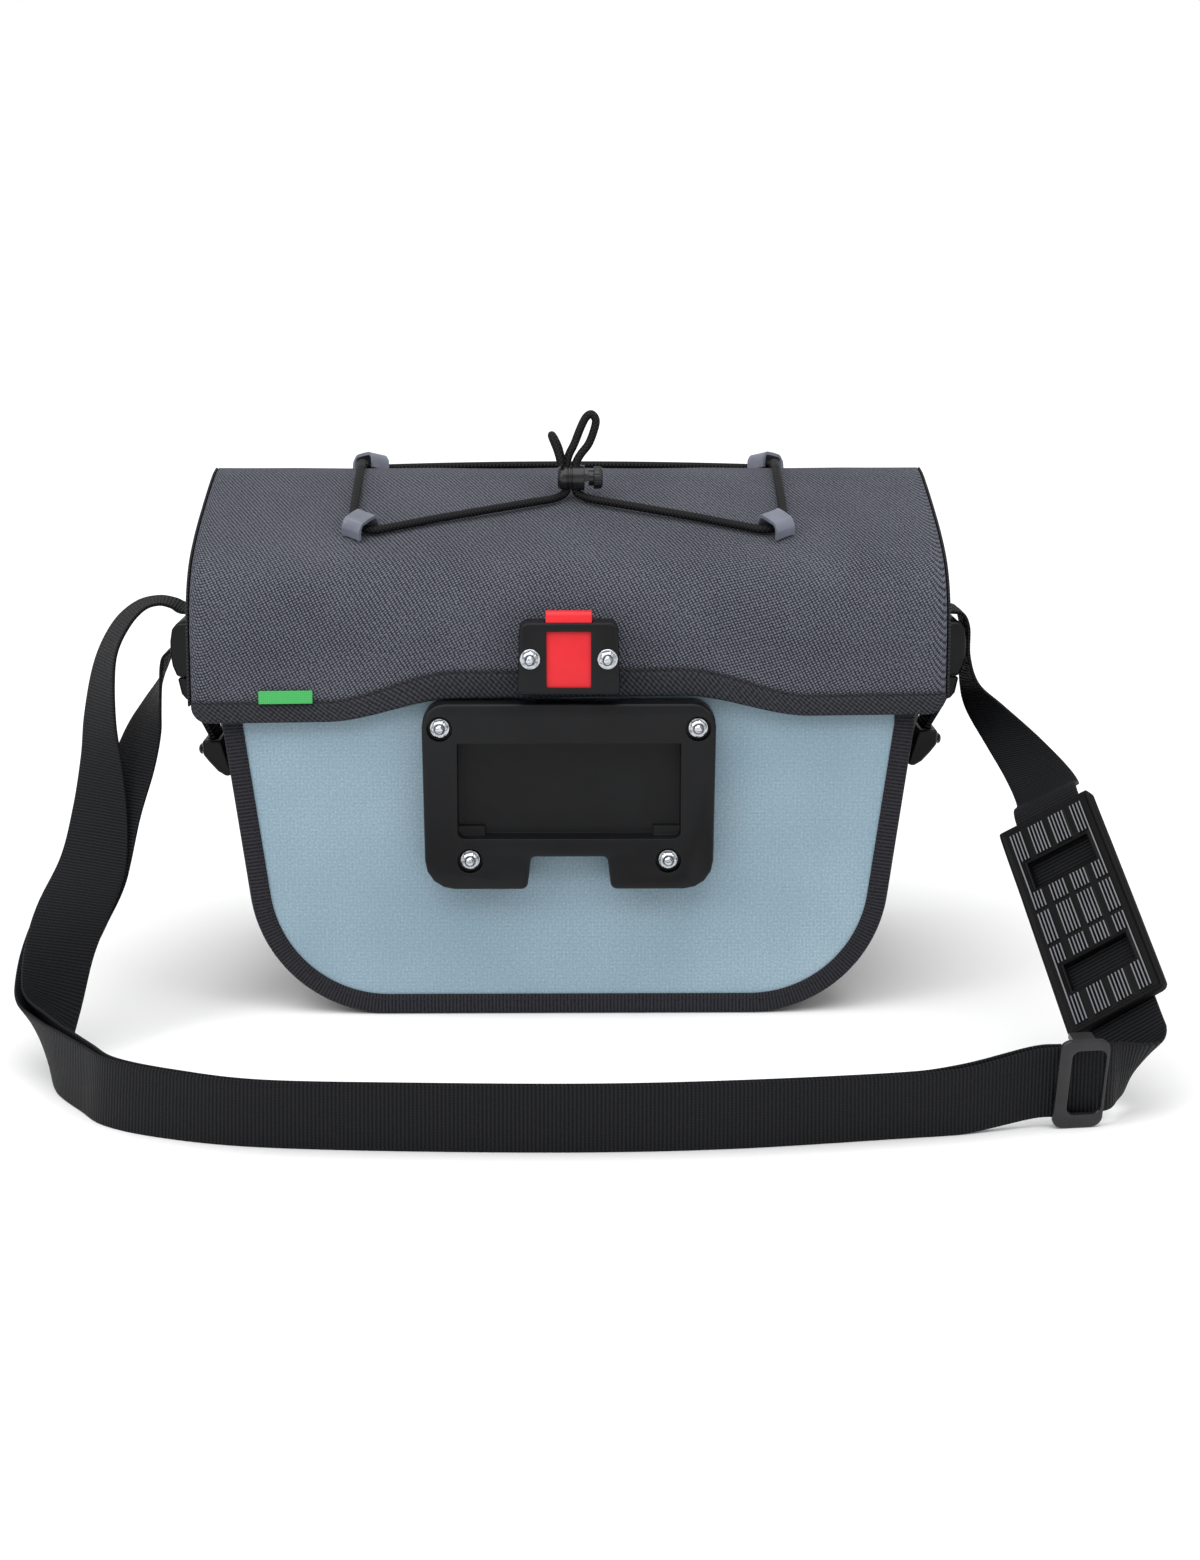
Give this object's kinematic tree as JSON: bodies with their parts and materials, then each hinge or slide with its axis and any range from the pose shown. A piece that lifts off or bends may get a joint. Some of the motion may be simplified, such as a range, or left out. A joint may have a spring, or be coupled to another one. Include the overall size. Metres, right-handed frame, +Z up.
{
  "type": "handlebar bag",
  "caption": "Handlebar bag with an arched buckled lid, bound seams, a flat mounting plate with a latch button, elastic cord on the lid and a padded shoulder strap.",
  "frame": {"origin": "on the surface that the bag stands on, in the middle of the front binding's foot, under the outer face of the front panel", "axes": "+X to the right seen from the mounting side, +Y from the mounting side through the bag, +Z up"},
  "size_m": [0.3802, 0.3209, 0.2152],
  "materials": {
    "blue_fabric": "matt coated fabric with a faint embossed grid",
    "grey_fabric": "coarse plain weave",
    "dark_fabric": "matt coated fabric",
    "tape": "ribbed binding tape",
    "webbing": "ribbed webbing",
    "plastic": "satin",
    "red_plastic": "satin",
    "zinc_steel": "bright zinc",
    "tab_plastic": "satin",
    "elastic": "braided",
    "rubber": "ribbed",
    "label": "woven tag"
  },
  "bodies": {
    "bag": {"anchor_rivet_left": "plastic", "anchor_rivet_right": "plastic", "buckle_plug_left": "plastic", "buckle_plug_right": "plastic", "buckle_socket_left": "plastic", "buckle_socket_right": "plastic", "closure_webbing_left": "webbing", "closure_webbing_right": "webbing", "cord_lock_barrel": "plastic", "cord_tab_front_left": "tab_plastic", "cord_tab_front_right": "tab_plastic", "cord_tab_rear_left": "tab_plastic", "cord_tab_rear_right": "tab_plastic", "elastic_cord": "elastic", "front_binding": "tape", "front_panel": "blue_fabric", "gusset": "dark_fabric", "hem_label": "label", "latch_1_bolt": "zinc_steel", "latch_1_nut": "zinc_steel", "latch_1_washer": "zinc_steel", "latch_2_bolt": "zinc_steel", "latch_2_nut": "zinc_steel", "latch_2_washer": "zinc_steel", "latch_housing": "plastic", "lid_end_tape_left": "tape", "lid_end_tape_right": "tape", "lid_hem_front": "tape", "lid_hem_rear": "tape", "lid_shell": "grey_fabric", "lock_pull_loop": "elastic", "mount_plate": "plastic", "plate_1_bolt": "zinc_steel", "plate_1_nut": "zinc_steel", "plate_1_washer": "zinc_steel", "plate_2_bolt": "zinc_steel", "plate_2_nut": "zinc_steel", "plate_2_washer": "zinc_steel", "plate_3_bolt": "zinc_steel", "plate_3_nut": "zinc_steel", "plate_3_washer": "zinc_steel", "plate_4_bolt": "zinc_steel", "plate_4_nut": "zinc_steel", "plate_4_washer": "zinc_steel", "rear_binding": "tape", "rear_panel": "blue_fabric", "shoulder_pad": "rubber", "side_anchor_left": "plastic", "side_anchor_right": "plastic", "strap_inner": "webbing", "strap_outer": "webbing", "strap_right": "webbing", "strap_slider": "plastic"},
    "button": {"release_button": "red_plastic"},
    "plunger": {"cord_lock_plunger": "plastic"}
  },
  "joints": [
    {"name": "release_press", "type": "slide", "parent": "bag", "child": "button", "axis": [0, 0, -1], "range_m": [0, 0.0034], "stiffness_N_per_m": 400, "springref_m": -0.003},
    {"name": "cord_lock_press", "type": "slide", "parent": "bag", "child": "plunger", "axis": [-1, 0, 0], "range_m": [0, 0.003], "stiffness_N_per_m": 250, "springref_m": -0.002}
  ]
}
